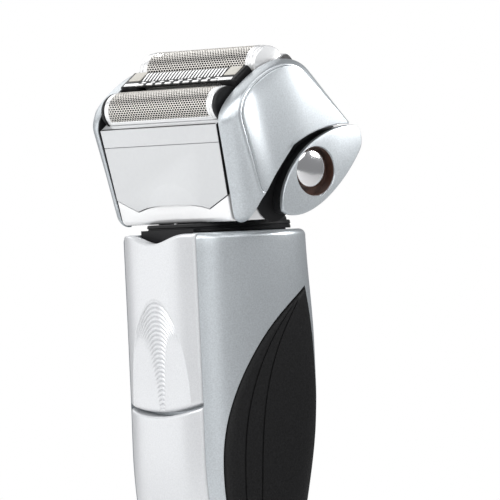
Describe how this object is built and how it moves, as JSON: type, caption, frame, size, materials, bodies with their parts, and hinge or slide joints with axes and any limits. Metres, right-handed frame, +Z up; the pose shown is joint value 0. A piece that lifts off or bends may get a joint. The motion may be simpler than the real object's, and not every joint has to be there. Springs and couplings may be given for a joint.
{
  "type": "electric foil shaver",
  "caption": "Cordless electric shaver with rubber side grips, a pivoting head with a removable foil cassette, and a slide-up hair trimmer on its back.",
  "frame": {"origin": "centre of the flat foot, under the body's long axis", "axes": "+Z up the body to the head, -Y to the front with the power button, +Y to the back with the hair trimmer, -X to the side with the head lock"},
  "size_m": [0.0632, 0.0473, 0.1568],
  "materials": {
    "silver_paint": "matt silver metallic paint on plastic",
    "bright_silver": "fine silver lacquer",
    "gloss_silver": "high-gloss silver plating on plastic",
    "foil_steel": "perforated foil, satin",
    "steel": "satin",
    "grip_rubber": "fine-grained, matt",
    "black_plastic": "satin black",
    "window": "clear over black",
    "copper": "enamelled copper winding",
    "contact": "plated",
    "cell": "shrink sleeve",
    "board": "solder resist"
  },
  "bodies": {
    "handle": {"body_housing": "silver_paint", "grip_left": "grip_rubber", "grip_right": "grip_rubber", "rear_cover": "bright_silver", "front_console": "black_plastic", "display_window": "window", "bottom_cap": "black_plastic", "socket_insert": "black_plastic", "socket_pin_right": "contact", "socket_pin_left": "contact", "charge_contact_right": "contact", "charge_contact_left": "contact", "cap_screw_right": "steel", "cap_screw_left": "steel", "inner_frame": "black_plastic", "battery": "cell", "circuit_board": "board", "power_switch": "steel", "display_module": "board", "neck_bracket": "black_plastic", "neck_collar": "grip_rubber", "pivot_axle": "steel"},
    "head": {"head_base": "gloss_silver", "cheek_left": "silver_paint", "cheek_right": "silver_paint", "pivot_cover": "silver_paint", "lock_cover": "silver_paint", "side_gasket_left": "black_plastic", "side_gasket_right": "black_plastic", "drive_deck": "black_plastic", "motor_stator": "steel", "motor_coil_left": "copper", "motor_coil_right": "copper"},
    "lock": {"lock_knob": "gloss_silver"},
    "release_left": {"release_button_left": "silver_paint"},
    "release_right": {"release_button_right": "silver_paint"},
    "drive_rear": {"armature_rear": "steel", "pin_spring_rear": "steel"},
    "drive_front": {"armature_front": "steel", "pin_spring_front": "steel"},
    "cassette": {"cassette_frame": "gloss_silver"},
    "foil_rear": {"rear_foil": "foil_steel"},
    "foil_front": {"front_foil": "foil_steel"},
    "cutter_rear": {"rear_cutter": "steel"},
    "cutter_front": {"front_cutter": "steel"},
    "middle": {"middle_carrier": "black_plastic", "middle_comb": "foil_steel"},
    "middle_cutter": {"middle_blade": "steel"},
    "trimmer": {"trimmer_slider": "bright_silver", "trimmer_comb": "steel"},
    "trimmer_cutter": {"trimmer_blade": "steel"},
    "power": {"power_button": "gloss_silver"},
    "minus": {"minus_key": "bright_silver"},
    "plus": {"plus_key": "bright_silver"}
  },
  "joints": [
    {"name": "head_tilt", "type": "hinge", "parent": "handle", "child": "head", "pos_m": [0, -0.008, 0.123], "axis": [1, 0, 0], "range_deg": [0, 40]},
    {"name": "lock_slide", "type": "slide", "parent": "head", "child": "lock", "axis": [0, -0.6157, -0.788], "range_m": [0, 0.002]},
    {"name": "release_left_press", "type": "slide", "parent": "head", "child": "release_left", "axis": [-1, 0, 0], "range_m": [0, 0.0008], "stiffness_N_per_m": 400, "springref_m": -0.001},
    {"name": "release_right_press", "type": "slide", "parent": "head", "child": "release_right", "axis": [1, 0, 0], "range_m": [0, 0.0008], "stiffness_N_per_m": 400, "springref_m": -0.001},
    {"name": "cassette_lift", "type": "slide", "parent": "head", "child": "cassette", "axis": [0, 0.6157, 0.788], "range_m": [0, 0.03]},
    {"name": "rear_foil_float", "type": "slide", "parent": "cassette", "child": "foil_rear", "axis": [0, -0.6157, -0.788], "range_m": [0, 0.0015], "stiffness_N_per_m": 250, "springref_m": -0.003},
    {"name": "front_foil_float", "type": "slide", "parent": "cassette", "child": "foil_front", "axis": [0, -0.6157, -0.788], "range_m": [0, 0.0015], "stiffness_N_per_m": 250, "springref_m": -0.003},
    {"name": "middle_float", "type": "slide", "parent": "cassette", "child": "middle", "axis": [0, -0.6157, -0.788], "range_m": [0, 0.0012], "stiffness_N_per_m": 250, "springref_m": -0.003},
    {"name": "drive_rear_shake", "type": "slide", "parent": "head", "child": "drive_rear", "axis": [1, 0, 0], "range_m": [-0.0008, 0.0008], "stiffness_N_per_m": 200},
    {"name": "drive_front_shake", "type": "slide", "parent": "head", "child": "drive_front", "axis": [1, 0, 0], "range_m": [-0.0008, 0.0008]},
    {"name": "rear_cutter_shake", "type": "slide", "parent": "foil_rear", "child": "cutter_rear", "axis": [1, 0, 0], "range_m": [-0.0008, 0.0008]},
    {"name": "front_cutter_shake", "type": "slide", "parent": "foil_front", "child": "cutter_front", "axis": [1, 0, 0], "range_m": [-0.0008, 0.0008]},
    {"name": "middle_cutter_shake", "type": "slide", "parent": "middle", "child": "middle_cutter", "axis": [1, 0, 0], "range_m": [-0.0008, 0.0008]},
    {"name": "trimmer_slide", "type": "slide", "parent": "handle", "child": "trimmer", "axis": [0, 0, 1], "range_m": [0, 0.011]},
    {"name": "trimmer_cutter_shake", "type": "slide", "parent": "trimmer", "child": "trimmer_cutter", "axis": [1, 0, 0], "range_m": [-0.0008, 0.0008], "stiffness_N_per_m": 100},
    {"name": "power_press", "type": "slide", "parent": "handle", "child": "power", "axis": [0, 1, 0], "range_m": [0, 0.0008], "stiffness_N_per_m": 500, "springref_m": -0.001},
    {"name": "minus_press", "type": "slide", "parent": "handle", "child": "minus", "axis": [0, 1, 0], "range_m": [0, 0.0006], "stiffness_N_per_m": 500, "springref_m": -0.001},
    {"name": "plus_press", "type": "slide", "parent": "handle", "child": "plus", "axis": [0, 1, 0], "range_m": [0, 0.0006], "stiffness_N_per_m": 500, "springref_m": -0.001}
  ],
  "couplings": [
    {"joint": "drive_front_shake", "follows": "drive_rear_shake", "ratio": -1},
    {"joint": "rear_cutter_shake", "follows": "drive_rear_shake", "ratio": 1},
    {"joint": "front_cutter_shake", "follows": "drive_rear_shake", "ratio": -1},
    {"joint": "middle_cutter_shake", "follows": "drive_rear_shake", "ratio": 1}
  ]
}
